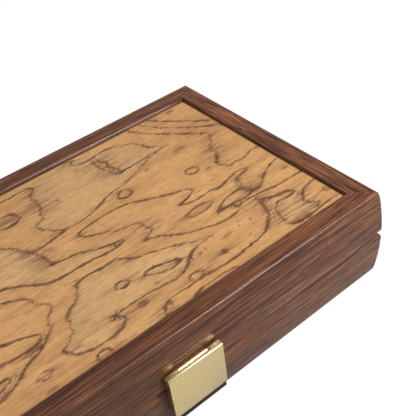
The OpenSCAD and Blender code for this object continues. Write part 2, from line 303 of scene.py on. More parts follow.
def burl_veneer(name):
    """Golden burl: brown figure lines feathered along the grain (X), paler islands, and shade painted
    along the rim where the frame meets it.
    """
    shader = Shader(name)
    spot = shader.place()
    strokes = shader.noise(shader.place((80, 2400, 300)), rough=0.7)
    streaks = shader.noise(shader.place((55, 620, 300)), detail=3.0, rough=0.7)
    fibres = shader.noise(shader.place((230, 2600, 300)))
    line = figure_line(shader, spot, strokes)
    colour = burl_ground(shader, fibres, streaks)
    colour = shader.mix(figure_stain(shader, spot, strokes, streaks), colour, BURL_STAIN)
    colour = shader.mix(shader.times(line, 0.97), colour, BURL_LINE)
    # Painted shade: the veneer is darkened in a band along its rim, where the frame's lip shades it.
    shadow = shader.times(shader.attribute("painted_rim_shade"), 0.7)
    colour = shader.mix(shadow, colour, BURL_SHADOW)
    shader.set(Base_Color=colour, Specular_IOR_Level=0.3,
               Roughness=shader.linear(fibres, 0.12, 0.44))
    height = shader.math("SUBTRACT", fibres, shader.times(line, 0.6))
    shader.bump(height, 0.25, 0.06 * MM)
    return shader.material


LATCH_BRASS = (0.895, 0.71, 0.365)
SCREW_BRASS = (0.85, 0.62, 0.27)


def brushed_brass(name, tint, rough):
    """Brass with fine brushing along X and a slight unevenness of colour."""
    shader = Shader(name)
    brushing = shader.noise(shader.place((60, 4200, 4200)))
    cloud = shader.noise(shader.place(), 160.0)
    darker = tuple(channel * 0.95 for channel in tint)
    colour = shader.mix(cloud, tint, darker)
    shader.set(Base_Color=colour, Metallic=1.0,
               Roughness=shader.linear(brushing, 0.14, rough - 0.07))
    shader.bump(brushing, 0.025, 0.02 * MM)
    return shader.material


def steel(name):
    """Drawn wire, with fine marks along X."""
    shader = Shader(name)
    drawn = shader.noise(shader.place((80, 3000, 3000)))
    colour = shader.ramp(drawn, (0.3, (0.42, 0.42, 0.41)), (0.7, (0.56, 0.56, 0.55)))
    shader.set(Base_Color=colour, Metallic=1.0, Roughness=shader.linear(drawn, 0.2, 0.2))
    return shader.material


def black_lip(name):
    """Plain black with a fine, matt grain."""
    shader = Shader(name)
    grain = shader.noise(shader.place(), 2600.0)
    colour = shader.ramp(grain, (0.3, (0.008, 0.008, 0.01)), (0.8, (0.02, 0.02, 0.023)))
    shader.set(Base_Color=colour, Specular_IOR_Level=0.2,
               Roughness=shader.linear(grain, 0.15, 0.35))
    shader.bump(grain, 0.1, 0.03 * MM)
    return shader.material


def ivory(name, colour):
    """Polished resin with a faint cloud of a deeper tone."""
    shader = Shader(name)
    cloud = shader.noise(shader.place(), 240.0, 3.0)
    warm = tuple(channel * 0.86 for channel in colour)
    shader.set(Base_Color=shader.mix(cloud, colour, warm),
               Roughness=shader.linear(cloud, 0.12, 0.2))
    return shader.material


# ---- Mesh helpers -----------------------------------------------------------

def finish_mesh(name, mesh_maker, angle=35.0):
    """An object from a bmesh, with outward normals and smooth curved faces."""
    bmesh.ops.recalc_face_normals(mesh_maker, faces=mesh_maker.faces)
    mesh = bpy.data.meshes.new(name)
    mesh_maker.to_mesh(mesh)
    mesh_maker.free()
    piece = bpy.data.objects.new(name, mesh)
    bpy.context.scene.collection.objects.link(piece)
    smooth(piece, angle)
    return piece


def smooth(piece, angle=35.0):
    piece.data.shade_smooth()
    piece.data.set_sharp_from_angle(angle=math.radians(angle))


def apply_modifiers(piece):
    bpy.context.view_layer.update()
    graph = bpy.context.evaluated_depsgraph_get()
    mesh = bpy.data.meshes.new_from_object(piece.evaluated_get(graph))
    piece.modifiers.clear()
    old = piece.data
    piece.data = mesh
    bpy.data.meshes.remove(old)


def cut(piece, cutters, operation="DIFFERENCE", **settings):
    """Takes the cutters out of piece (or joins them to it) and deletes them."""
    for cutter in cutters:
        modifier = piece.modifiers.new("cut", "BOOLEAN")
        modifier.operation = operation
        modifier.solver = "EXACT"
        modifier.object = cutter
        for key, value in settings.items():
            setattr(modifier, key, value)
    apply_modifiers(piece)
    for cutter in cutters:
        bpy.data.objects.remove(cutter)


def bevel(piece, width, segments=2):
    modifier = piece.modifiers.new("edges", "BEVEL")
    modifier.width = width
    modifier.segments = segments
    modifier.limit_method = "ANGLE"
    modifier.angle_limit = math.radians(30.0)
    apply_modifiers(piece)
    smooth(piece, 40.0)


def block(low, high, name="block"):
    """A plain box between two corners."""
    maker = bmesh.new()
    bmesh.ops.create_cube(maker, size=1.0)
    low, high = Vector(low), Vector(high)
    for vertex in maker.verts:
        vertex.co = Vector((low[i] + (vertex.co[i] + 0.5) * (high[i] - low[i])) for i in range(3))
    return finish_mesh(name, maker)


def rod(start, end, radius):
    """A cylinder from start to end."""
    maker = bmesh.new()
    start, end = Vector(start), Vector(end)
    bmesh.ops.create_cone(maker, cap_ends=True, segments=48, radius1=radius, radius2=radius,
                          depth=(end - start).length)
    bmesh.ops.rotate(maker, verts=maker.verts, cent=(0, 0, 0),
                     matrix=Vector((0, 0, 1)).rotation_difference(end - start).to_matrix())
    bmesh.ops.translate(maker, verts=maker.verts, vec=(start + end) / 2)
    return finish_mesh("rod", maker)


def band(maker, low, high):
    """Faces between two closed rings of vertices."""
    for i in range(len(low)):
        j = (i + 1) % len(low)
        maker.faces.new((low[i], low[j], high[j], high[i]))


def extruded(outline, x0, x1, name):
    """A solid along X whose section is a closed list of (y, z)."""
    maker = bmesh.new()
    first = [maker.verts.new((x0, y, z)) for y, z in outline]
    last = [maker.verts.new((x1, y, z)) for y, z in outline]
    maker.faces.new(first)
    maker.faces.new(list(reversed(last)))
    count = len(outline)
    for i in range(count):
        j = (i + 1) % count
        maker.faces.new((first[j], first[i], last[i], last[j]))
    return finish_mesh(name, maker)


def lathe(outline, centre, name, sides):
    """A turned solid about a vertical axis through centre; outline is (radius, z)."""
    maker = bmesh.new()
    rings = []
    for radius, z in outline:
        if radius == 0:
            rings.append([maker.verts.new((centre[0], centre[1], centre[2] + z))])
            continue
        ring = []
        for i in range(sides):
            angle = 2 * math.pi * i / sides
            ring.append(maker.verts.new((centre[0] + radius * math.cos(angle),
                                         centre[1] + radius * math.sin(angle), centre[2] + z)))
        rings.append(ring)
    for low, high in zip(rings, rings[1:]):
        for i in range(sides):
            j = (i + 1) % sides
            if len(low) == 1:
                maker.faces.new((low[0], high[i], high[j]))
            elif len(high) == 1:
                maker.faces.new((low[i], low[j], high[0]))
            else:
                maker.faces.new((low[i], low[j], high[j], high[i]))
    return finish_mesh(name, maker)


def dress(piece, material, node=None, body=None):
    """Gives piece its material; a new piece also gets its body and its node."""
    piece.data.materials.clear()
    piece.data.materials.append(material)
    if body:
        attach(piece, body)
    if node:
        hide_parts(node)


# ---- Case rails -------------------------------------------------------------

def arc(steps):
    """Angles from 0 to 90 degrees, in radians."""
    return [math.radians(90 * i / steps) for i in range(steps + 1)]


def bow(z):
    """How far the bowed side lies inside the outermost plane at height z."""
    radius = (CASE_H ** 2 / 4 + CROWN ** 2) / (2 * CROWN)
    start = HALF_TOP - GROOVE_H
    lean = [radius - math.sqrt(radius ** 2 - (CASE_H / 2 - height) ** 2) for height in (z, start)]
    return max(lean[0] - lean[1], 0.0)


def rail_outline(side_steps=14, groove_steps=10):
    """Section of a lower rail as (distance in from the outermost plane, height)."""
    points = [(bow(0) + EDGE_R * (1 - math.sin(a)), EDGE_R * (1 - math.cos(a))) for a in arc(10)]
    rise = (HALF_TOP - GROOVE_H - EDGE_R) / side_steps
    points += [(bow(EDGE_R + rise * i), EDGE_R + rise * i) for i in range(1, side_steps + 1)]
    for i in range(1, groove_steps + 1):
        share = i / groove_steps
        z = HALF_TOP - GROOVE_H * (1 - share)
        points.append((bow(z) + GROOVE_D * share ** GROOVE_CURVE, z))
    points += [(WALL_T - RIM_EASE, HALF_TOP), (WALL_T, HALF_TOP - RIM_EASE), (WALL_T, FIELD_Z),
               (BOARD_IN, FIELD_Z), (BOARD_IN, PANEL_Z)]
    points += [(LIP_IN - LIP_W * (1 - math.cos(a)), PANEL_Z * (1 - math.sin(a))) for a in arc(12)]
    return points


def shrunk(points, amount):
    """The closed outline moved inwards by amount."""
    result = []
    count = len(points)
    for i in range(count):
        before, here, after = (Vector(points[(i + k) % count]) for k in (-1, 0, 1))
        edge = (after - before).normalized()
        result.append(tuple(here + Vector((edge.y, -edge.x)) * amount))
    return result


def rail_spot(side, along, depth):
    """Plan position of a point on a side: along it, and depth in from its plane."""
    return {
        "front": (along, -CASE_W / 2 + depth),
        "back": (-along, CASE_W / 2 - depth),
        "left": (-CASE_L / 2 + depth, -along),
        "right": (CASE_L / 2 - depth, along),
    }[side]


def rail(half, side, stations=20):
    """A mitred rail of the base or the lid, with a fine V where the mitres meet."""
    outline = rail_outline()
    area = sum(a[0] * b[1] - b[0] * a[1] for a, b in zip(outline, outline[1:] + outline[:1]))
    eased = shrunk(outline, math.copysign(MITRE_D, -area))
    half_length = (CASE_L if side in ("front", "back") else CASE_W) / 2
    maker = bmesh.new()
    rings = []
    for i in range(stations + 1):
        share = 2 * i / stations - 1
        sections = [(outline, 0.0)]
        if i in (0, stations):
            sections = [(outline, MITRE_HALF_W), (eased, 0.0)]
        for section, back in sections:
            ring = []
            for depth, z in section:
                x, y = rail_spot(side, share * (half_length - depth - back), depth)
                ring.append(maker.verts.new((x, y, z if half == "base" else CASE_H - z)))
            rings.append(ring)
    # The eased ring is the outer one at the first mitre too.
    rings[0], rings[1] = rings[1], rings[0]
    for low, high in zip(rings, rings[1:]):
        band(maker, low, high)
    maker.faces.new(rings[0])
    maker.faces.new(rings[-1])
    return finish_mesh(f"{half}_rail_{side}_wood", maker)


# The hinges: their length and place, the seats of their leaves, and the room round a barrel.
HINGE_L = 34 * MM
HINGE_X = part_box("hinge_leaves_base")[1].x - HINGE_L / 2
LEAF_T = 1.2 * MM
LEAF_W = 10.5 * MM
BARREL_ROOM = 0.25 * MM
# Play round a part that is let into the wood.
FIT = 0.05 * MM
# How far a cutter runs on past the face that it opens.
OVERCUT = MM
# Each half's plate of the latch: its node, how far its barrel stands above the plate, and
# where its two screws are, out from the middle and up from its lower edge.
LATCH_PLATES = {
    "base": ("latch_catch", 0.0, 9 * MM, 5 * MM),
    "lid": ("latch_plate", 3.1 * MM, 9.5 * MM, 2.9 * MM),
}
PLATE_T = MM


def hinge_cutters(half):
    """Blocks and rods that let the hinge leaves and barrels into a back rail."""
    low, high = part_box(f"hinge_leaves_{half}")
    barrel = high.y - HINGE_AXIS.y
    below, above = (LEAF_T, OVERCUT) if half == "base" else (OVERCUT, LEAF_T)
    cutters = []
    for x in (-HINGE_X, HINGE_X):
        cutters.append(block((x - HINGE_L / 2 - FIT, low.y - FIT, SEAM_Z[half] - below),
                             (x + HINGE_L / 2 + FIT, low.y + LEAF_W, SEAM_Z[half] + above)))
        cutters.append(rod((x - HINGE_L / 2 - BARREL_ROOM, HINGE_AXIS.y, HINGE_AXIS.z),
                           (x + HINGE_L / 2 + BARREL_ROOM, HINGE_AXIS.y, HINGE_AXIS.z),
                           barrel + BARREL_ROOM))
    return cutters


def plate_cutter(half):
    """A block that lets a half's plate of the latch into its front rail."""
    node, barrel = LATCH_PLATES[half][:2]
    low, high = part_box(node)
    return block((low.x - FIT, -CASE_W, low.z - FIT), (high.x + FIT, high.y, high.z - barrel + FIT))


def make_rails():
    woods = [straight_wood(f"frame_wood_{axis}", index, FRAME_TONES, seed=index * 0.37, painted_falloff=True)
             for index, axis in enumerate("xy")]
    for half in HALVES:
        for side in SIDES:
            piece = rail(half, side)
            if side == "back":
                cut(piece, hinge_cutters(half))
            if side == "front":
                cut(piece, [plate_cutter(half)])
            smooth(piece)
            wood = woods[0 if side in ("front", "back") else 1]
            dress(piece, wood, f"{half}_rail_{side}", half)


# ---- Burl panels ------------------------------------------------------------
# The veneer's figure, in millimetres on the lid's panel: X to the right, Y to the back.

# The outline of the large pale island is one of the lines too.
GREAT_ISLAND = [
    (50, -44.3), (43, -41.8), (33, -36.8), (23, -31.8), (13, -30), (8.3, -26), (5, -22),
    (-7, -22.7), (-17, -21), (-22, -26), (-25, -32.7), (-34, -36.8), (-36, -44.3), (-37, -49.3),
    (-47, -55), (-44, -59.3), (-40, -63.5), (-25, -64.3), (-17, -62.7), (-13, -57), (-20, -54.3),
    (-7, -53.5), (7, -54.3), (20, -56), (28, -53.5), (31, -49.5), (37, -46), (50, -44.3),
]
FIGURE_LINES = [
    [(75, 75), (80, 62), (90, 51), (100, 40), (107, 34), (111, 30), (105, 22), (100, 16.5),
     (101, 11.5), (97, 6), (92, 1), (95, -1), (97.5, -7), (102, -4), (107, -6), (111, -5),
     (115, -3), (126, -4)],
    [(83, 75), (90, 62), (100, 51), (110, 40), (118, 35), (126, 29)],
    [(91, 75), (97, 64), (107, 54), (118, 42.5), (126, 37)],
    [(42, 63), (48, 64.5), (55, 64.5), (62, 63), (68, 59), (73, 52), (73.5, 47), (83, 40),
     (70, 38.7), (60, 38), (50, 38), (46, 37), (42.5, 46), (41, 56), (42, 63)],
    [(48, 38), (49, 43), (45, 48.5), (48, 53), (44, 58), (45, 63)],
    [(42, 63), (35, 64), (29, 67), (35, 71), (26, 70)],
    [(83, 40), (67.5, 36.5), (57, 32), (48, 28), (40, 25.7), (31, 25.3), (23, 21.5), (17, 18),
     (3, 16.5), (-3, 17.3), (-8, 21.5), (-11, 26), (-14, 30), (-12, 33), (-6, 35), (-7, 39),
     (-3, 44), (-2.5, 51), (-4, 57), (3, 64), (0, 66.5), (-7, 66.5), (-17, 65.5), (-30, 69)],
    [(-3, 16.5), (-13, 14.8), (-25, 13.2), (-28, 19), (-32.5, 26), (-37, 31), (-46, 37), (-58, 40),
     (-70, 50), (-84, 48)],
    [(-25, 13), (-23.5, 10.5), (-22, 4), (-21.7, -1)],
    [(-1, 7), (3, 10.3), (13, 11), (23, 12), (37, 9.8), (43, 5.7), (53, 0.7), (62, -2.7),
     (69, -5.7), (66, -9.3), (57, -11.8), (53, -12.3), (59, -15), (68, -16), (75, -14.3),
     (77.5, -16.8), (83, -16), (92, -13.5), (98, -12.2), (103, -14.3), (99, -16.8), (91, -17),
     (91.5, -21), (88.3, -26), (90, -32.7), (97, -32.7), (103, -27.7), (113, -21.8), (126, -19)],
    [(-1, 7), (4, 2.3), (12, -0.2), (15, -4.3), (23, -6), (31, -7.3), (29, -12.7), (32.5, -17),
     (27, -20), (22.5, -22), (28, -22.7), (35, -27.7), (42, -33.5), (50, -36), (57, -39.3),
     (67, -40.7), (73, -40.2), (77.5, -36), (90, -36), (103, -39.3), (126, -39.5)],
    [(65, -32.7), (72, -27.7), (83, -25.5), (90, -27), (91, -32), (87, -34.3), (75, -33),
     (65, -32.7)],
    [(87.5, -38), (86.7, -46), (83.3, -54.3), (77, -59.3), (74, -62), (65, -64.3), (57, -64.3),
     (48, -66), (37, -64.8), (13, -64.3), (6.5, -64.3), (2.5, -67), (0.5, -75)],
    [(88.3, -41), (97, -46), (103, -46), (107.5, -49.3), (102, -51), (93.3, -49.3), (88, -53.5),
     (86.7, -59.3), (84, -68.5), (97, -70.2), (112, -68.5), (126, -69.5)],
    [(126, -49.5), (113, -51), (106, -56), (104, -61), (109, -64.3), (107, -68)],
    [(15, -75), (20, -69.5), (37, -69.7), (44, -70), (49, -75)],
    [(-66, 4), (-56, 3), (-49, 0.7), (-42, -2.7), (-33, -10.2), (-27, -13.5), (-13, -13.5),
     (-3, -14), (7, -16), (15, -15), (14, -11.8), (8, -11), (2, -9.3), (-7, -4.3), (-13, -3.5),
     (-22, -1.8)],
    GREAT_ISLAND,
    [(8, -42.7), (11.7, -40.2), (20, -42.7), (30, -46), (23, -49), (15, -47), (8, -42.7)],
    [(-78, -2), (-66, -4), (-53, -7.7), (-47, -10.7), (-42, -16), (-42, -21), (-36, -25), (-37, -29),
     (-43, -32.7), (-42.5, -37), (-47, -42.7), (-55, -48.5), (-63, -50.2), (-67, -54.3),
     (-75, -58.5), (-86, -61), (-98, -58), (-106, -48), (-102, -36)],
    [(-86, -26), (-76, -29), (-64, -32.7), (-57, -34.3), (-49, -38.5), (-50, -42), (-57, -43.5),
     (-65, -42.7), (-76, -42), (-86, -36), (-86, -26)],
    [(-92, -55), (-84, -51), (-72, -50), (-71, -52.5), (-77, -55.2), (-88, -57), (-92, -55)],
    [(-126, 52), (-108, 49), (-98, 54), (-84, 62), (-76, 60), (-66, 66), (-58, 75)],
    [(-126, 30), (-112, 27), (-104, 18), (-92, 14), (-86, 4), (-94, -6), (-108, -8), (-126, -16)],
    [(-100, 38), (-88, 40), (-76, 33), (-80, 25), (-92, 26), (-100, 38)],
    [(-126, -60), (-116, -64), (-104, -70), (-98, -75)],
]
# Rings round small knots: middle, and half the length and the width.
FIGURE_EYES = [
    (38, 18.7, 4.5, 3.7), (78.5, 7.2, 4.3, 3), (59.7, -23.2, 8.7, 3), (-3.3, -39.7, 3.6, 2.5),
    (27, -61.5, 4, 2.6), (-3, -57.5, 2.3, 1.5), (47, -58, 2.4, 1.3), (-59, -61, 3.4, 2.4),
    (-33, -70.5, 4, 3), (77.5, -34.5, 2.5, 2.2), (-18.5, -54.6, 2.2, 1.4), (12, -13.2, 2.6, 1.7),
    (-24, 47.5, 7.5, 5.5), (-70, 15, 6, 3), (-112, -32, 6, 3.4), (-62, 56, 5, 3),
    (-116, 8, 3.6, 2.4),
]
# Soft brown smudges: middle, half-sizes, and strength.
FIGURE_SMUDGES = [
    (-23, 47, 7, 5, 0.9), (-19, 50, 3, 6, 0.8), (-25, 5, 5, 8, 0.7), (-20, 10, 8, 4, 0.5),
    (7, 43, 1.4, 1.1, 1.2), (7, -66.5, 1.1, 1.3, 2.5), (60, 28, 2.5, 1.5, 1.0),
    (88, 30.5, 6, 2.4, 0.8), (118, -30.5, 3.6, 1.3, 1.1), (87, 2, 1.8, 1, 1.2),
    (80, -16.5, 4, 1.6, 0.9), (95.5, 2, 1.6, 0.8, 1.2), (-58, -45, 8, 2.2, 0.9),
    (108, 69, 4, 1.5, 1.0), (68, -31.5, 4, 2.4, 0.9), (95, -31, 5, 3.4, 0.9),
    (76, -61, 2, 2, 0.7), (120, -61, 4, 3, 0.9), (90, -43, 5, 5, 0.6), (95, -67, 9, 3, 0.7),
    (57, -50, 4, 1.3, 0.6), (66, -49, 0.8, 0.7, 1.4), (74, -49, 0.7, 1.2, 1.2),
    (38.5, -50.5, 1.4, 1.2, 1.6), (33, -50, 0.6, 1.6, 1.0), (42, -50, 0.6, 1.5, 1.0),
    (10, -51, 2, 1, 0.8), (-13, -64, 1, 0.7, 0.9), (66, -58, 1.2, 0.6, 1.0),
    (48, -58, 1.5, 1, 0.9), (-3, -57.5, 1.6, 1, 0.9), (6, -42, 4, 1.6, 0.7),
    (20, -52, 10, 2, 0.3), (-36, 46, 6, 4, 0.6), (56, -11.8, 4, 1, 0.8),
    (23, -21.7, 2.4, 1.2, 0.8), (13, -13, 3, 1.4, 0.7), (62, 20, 7, 1.2, 0.35),
    (70, 14, 6, 1, 0.3), (85, -6, 5, 1, 0.35), (76, -31, 6, 2, 0.3), (106, -66, 3, 2, 0.6),
    (-56, -10, 5, 2, 0.2), (-60, -70, 6, 1.4, 0.8), (91, -19, 5, 2.4, 0.8), (88, -28, 2, 5, 0.7),
    (104, -26, 6, 1.6, 0.5), (98, -16, 5, 1.6, 0.5), (85, -49, 3, 5, 0.6), (99, -44, 5, 2, 0.6),
    (107, -54, 3, 3, 0.5), (88, -57, 5, 2, 0.5), (-28, 15, 4, 4, 0.7), (-23, -1, 5, 2, 0.7),
    (-30, -13, 5, 1.6, 0.6), (-9, 17, 6, 2, 0.5), (-20, -22, 6, 2, 0.5), (-40, -57, 6, 2, 0.5),
    (-3, -23, 6, 1.6, 0.5), (9, -27, 4, 2, 0.5), (110, 12, 10, 1.2, 0.3), (30, 60, 6, 1.6, 0.5),
    (-60, 32, 6, 3, 0.5), (-96, 20, 8, 6, 0.6), (-90, -50, 9, 2, 0.8), (-104, 62, 7, 3, 0.7),
    (-80, -10, 8, 2.4, 0.5),
]
# Areas of paler, greyer wood, each inside a closed line.
FIGURE_PALES = [
    [(-17, 75), (-7, 66.5), (3, 64), (-4, 57), (-2.5, 51), (-3, 44), (-7, 39), (-6, 35), (-14, 30),
     (-11, 26), (-8, 21.5), (-3, 17.3), (3, 16.5), (17, 18), (31, 25.3), (48, 28), (57, 32), (67, 36),
     (73, 39), (83, 40), (73.5, 47), (73, 52), (68, 59), (55, 64.5), (42, 64), (35, 75)],
    GREAT_ISLAND,
    [(-37, 31), (-28, 19), (-25, 13), (-22, -1.8), (-7, -4.3), (8, -11), (-3, -14), (-27, -13.5),
     (-42, -2.7), (-66, 4), (-86, 4), (-92, 14), (-104, 18), (-84, 48), (-70, 50), (-58, 40)],
    [(92, -50), (103, -51), (106, -56), (109, -66), (90, -70), (87, -60)],
    [(-126, 52), (-108, 49), (-84, 62), (-58, 75), (-126, 75)],
]
# Stain spreads this much further along the grain than across it, and a line that runs
# with the grain stains as if it were this much further off.
BLEED_STRETCH = 6.0
BLEED_LOSS = 1.6
# Further than any spot lies from a line.
FAR_OFF = 1e3
# The panels' mesh: its squares, and the groove where it meets the frame; and the width of the shade
# painted beside it.
GRID_STEP = 1.0 * MM
PANEL_GROOVE = 0.35 * MM
SHADE_W = 1.2 * MM


def rounded(points, rounds=2):
    """Cuts the corners of a line so that it bends softly."""
    line = np.array(points, float)
    for _ in range(rounds):
        first = line[:-1] * 0.75 + line[1:] * 0.25
        second = line[:-1] * 0.25 + line[1:] * 0.75
        middle = np.stack([first, second], 1).reshape(-1, 2)
        line = np.concatenate([line[:1], middle, line[-1:]])
    return line


def eye_ring(x, y, long_half, wide_half, steps=14):
    """A closed ring round a knot."""
    angles = np.linspace(0, 2 * math.pi, steps)
    return np.stack([x + long_half * np.cos(angles), y + wide_half * np.sin(angles)], 1)


def inside(spots, outline):
    """Whether each spot lies inside a closed outline."""
    odd = np.zeros(len(spots), bool)
    x, y = spots[:, 0], spots[:, 1]
    for (x0, y0), (x1, y1) in zip(outline, outline[1:] + outline[:1]):
        if y0 != y1:
            odd ^= ((y0 > y) != (y1 > y)) & (x < x0 + (y - y0) / (y1 - y0) * (x1 - x0))
    return odd


def distances(spots, start, end):
    """Signed sideways distance of each spot from a segment, and its plain distance."""
    along = end - start
    share = np.clip(((spots - start) @ along) / (along @ along), 0, 1)
    away = spots - start - share[:, None] * along
    far = np.hypot(away[:, 0], away[:, 1])
    side = along[0] * (spots[:, 1] - start[1]) - along[1] * (spots[:, 0] - start[0])
    return np.where(side >= 0, far, -far), far


def figure(spots):
    """The figure's attributes at spots (millimetres on the lid's panel)."""
    near = np.full(len(spots), FAR_OFF)
    side = np.full(len(spots), FAR_OFF)
    bleed = np.full(len(spots), FAR_OFF)
    lean = np.zeros(len(spots))
    squeeze = np.array([1 / BLEED_STRETCH, 1.0])
    lines = [rounded(line) for line in FIGURE_LINES] + [eye_ring(*eye) for eye in FIGURE_EYES]
    for line in lines:
        for start, end in zip(line, line[1:]):
            slope = (end - start)[1] / math.dist(start, end)
            signed, far = distances(spots, start, end)
            closer = far < near
            side[closer] = signed[closer]
            near[closer] = far[closer]
            lean[closer] = -slope
            reach = distances(spots * squeeze, start * squeeze, end * squeeze)[1]
            bleed = np.minimum(bleed, reach + BLEED_LOSS * (1 - abs(slope)))

    smudge = np.zeros(len(spots))
    for x, y, long_half, wide_half, strength in FIGURE_SMUDGES:
        reach = ((spots[:, 0] - x) / long_half) ** 2 + ((spots[:, 1] - y) / wide_half) ** 2
        smudge = np.maximum(smudge, strength * np.exp(-reach))
    pale = np.zeros(len(spots))
    for outline in FIGURE_PALES:
        pale[inside(spots, outline)] = 1.0
    return {"figure_side": side, "figure_near": near, "figure_lean": lean, "figure_bleed": bleed,
            "figure_smudge": smudge, "figure_pale": pale}


def panel_mesh(half, reach_x, reach_y):
    """A panel gridded finely for its figure, sunk where it passes under its frame."""
    low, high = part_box(f"{half}_panel")
    face_z, back_z, inward = (high.z, low.z, -1) if half == "lid" else (low.z, high.z, 1)

    def stops(outer, inner):
        steps = round(2 * inner / GRID_STEP)
        middle = list(np.linspace(-inner + PANEL_GROOVE, inner - PANEL_GROOVE, steps))
        return [-outer, -inner] + middle + [inner, outer]

    xs = stops(high.x, reach_x)
    ys = stops(high.y, reach_y)
    maker = bmesh.new()
    grid = []
    for i, x in enumerate(xs):
        row = []
        for j, y in enumerate(ys):
            is_rim = i in (0, 1, len(xs) - 2, len(xs) - 1) or j in (0, 1, len(ys) - 2, len(ys) - 1)
            row.append(maker.verts.new((x, y, face_z + inward * (PANEL_GROOVE if is_rim else 0))))
        grid.append(row)
    for i in range(len(xs) - 1):
        for j in range(len(ys) - 1):
            maker.faces.new((grid[i][j], grid[i + 1][j], grid[i + 1][j + 1], grid[i][j + 1]))
    rim = [row[0] for row in grid] + grid[-1][1:]
    rim += [row[-1] for row in reversed(grid[:-1])] + list(reversed(grid[0][1:-1]))
    under = [maker.verts.new((vertex.co.x, vertex.co.y, back_z)) for vertex in rim]
    band(maker, rim, under)
    maker.faces.new(under)
    return finish_mesh(f"{half}_panel_veneer", maker)


def burl_panel(half, material):
    """A veneered panel; the base's carries the lid's figure mirrored."""
    reach_x, reach_y = CASE_L / 2 - LIP_IN, CASE_W / 2 - LIP_IN
    piece = panel_mesh(half, reach_x, reach_y)
    flat = np.zeros(len(piece.data.vertices) * 3)
    piece.data.vertices.foreach_get("co", flat)
    spots = flat.reshape(-1, 3)[:, :2]
    mirror = np.array([1.0 if half == "lid" else -1.0, 1.0])
    values = figure(spots * mirror / MM)
    # A band along the rim is marked for painted shade, darkest where the panel meets the frame.
    rim_gap = np.minimum(reach_x - abs(spots[:, 0]), reach_y - abs(spots[:, 1]))
    values["painted_rim_shade"] = np.clip(1 - rim_gap / SHADE_W, 0, 1)
    for name, numbers in values.items():
        attribute = piece.data.attributes.new(name, "FLOAT", "POINT")
        attribute.data.foreach_set("value", numbers.astype(np.float32))
    dress(piece, material, f"{half}_panel", half)


# ---- Latch, hinges and screws -----------------------------------------------

SHEET = 0.9 * MM
FLAP_EDGE_R = 0.7 * MM
CURL_SWEEP = 250.0
PIN_BORE_R = 0.59 * MM
# The opening that the lid's barrel stands in: half its width, and how far it reaches in
# front of the pin and below it.
OPENING_HALF = 8.9 * MM
OPENING_REACH = 1.6 * MM
OPENING_DROP = 2.4 * MM
# The side flanges end this far below the pin and this far off the rail.
FLANGE_DROP = 1.7 * MM
FLANGE_GAP = 0.43 * MM
FLAP_BEVEL = 0.14 * MM
LIP_BEVEL = 0.5 * MM


def flap_outline(front, bottom, top, curl_steps=27):
    """Section of the flap as (y, z): plate, rounded top edge, shelf and curled end."""
    curl = top - LATCH_PIN.z
    points = [(front, bottom)]
    points += [(front + FLAP_EDGE_R * (1 - math.cos(a)), top - FLAP_EDGE_R * (1 - math.sin(a)))
               for a in arc(10)]
    for i in range(curl_steps + 1):
        angle = math.radians(90 - CURL_SWEEP * i / curl_steps)
        points.append((LATCH_PIN.y + curl * math.cos(angle), LATCH_PIN.z + curl * math.sin(angle)))
    points += [(LATCH_PIN.y - curl * 0.97, top - SHEET), (front + 1.3 * SHEET, top - SHEET)]
    points += [(front + SHEET, top - 1.3 * SHEET), (front + SHEET, bottom)]
    return points


def latch_flap(brass):
    """The flap: bent sheet with an opening for the barrel, a bore and two side flanges."""
    low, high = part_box("latch_flap")
    flap = extruded(flap_outline(low.y, low.z, high.z), low.x, high.x, "latch_flap_brass")
    opening = block((-OPENING_HALF, LATCH_PIN.y - OPENING_REACH, LATCH_PIN.z - OPENING_DROP),
                    (OPENING_HALF, high.y + OVERCUT, high.z + OVERCUT))
    bore = rod((low.x - OVERCUT, LATCH_PIN.y, LATCH_PIN.z),
               (high.x + OVERCUT, LATCH_PIN.y, LATCH_PIN.z), PIN_BORE_R)
    cut(flap, [opening, bore])
    flange_back = -CASE_W / 2 - FLANGE_GAP
    flange_top = LATCH_PIN.z - FLANGE_DROP
    flanges = [block((x, low.y + SHEET / 2, low.z), (x + SHEET, flange_back, flange_top))
               for x in (low.x, high.x - SHEET)]
    cut(flap, flanges, "UNION")
    bevel(flap, FLAP_BEVEL)
    dress(flap, brass, "latch_flap", "latch_flap")


def latch_lip():
    """The black strip under the flap."""
    lip = block(*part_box("latch_lip"), "latch_lip_black")
    bevel(lip, LIP_BEVEL, 4)
    dress(lip, black_lip("lip_black"), "latch_lip", "latch_flap")


SCREW_HEAD_R = 1.9 * MM
SCREW_R = MM
SCREW_L = 9 * MM
SCREW_STEP = 0.33 * HINGE_L
SLOT_HALF_L = 1.25 * MM
SLOT_HALF_W = 0.28 * MM
SLOT_D = 0.55 * MM
# Turns each screw by its place, so that the slots don't line up: radians a metre.
SCREW_TURN = 300


def screw_places(half):
    """Where a half's screws go: three in each hinge leaf, and two in the latch's plate."""
    node, _, out, up = LATCH_PLATES[half]
    low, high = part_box(node)
    leaf_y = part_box(f"{half}_screws")[1].y - SCREW_HEAD_R
    upright = Matrix.Diagonal((1, 1, 1 if half == "base" else -1, 1))
    forwards = Matrix.Rotation(math.pi / 2, 4, "X")
    places = [Matrix.Translation((side * HINGE_X + i * SCREW_STEP, leaf_y, SEAM_Z[half])) @ upright
              for side in (-1, 1) for i in (-1, 0, 1)]
    places += [Matrix.Translation((side * out, high.y - PLATE_T, low.z + up)) @ forwards
               for side in (-1, 1)]
    return places


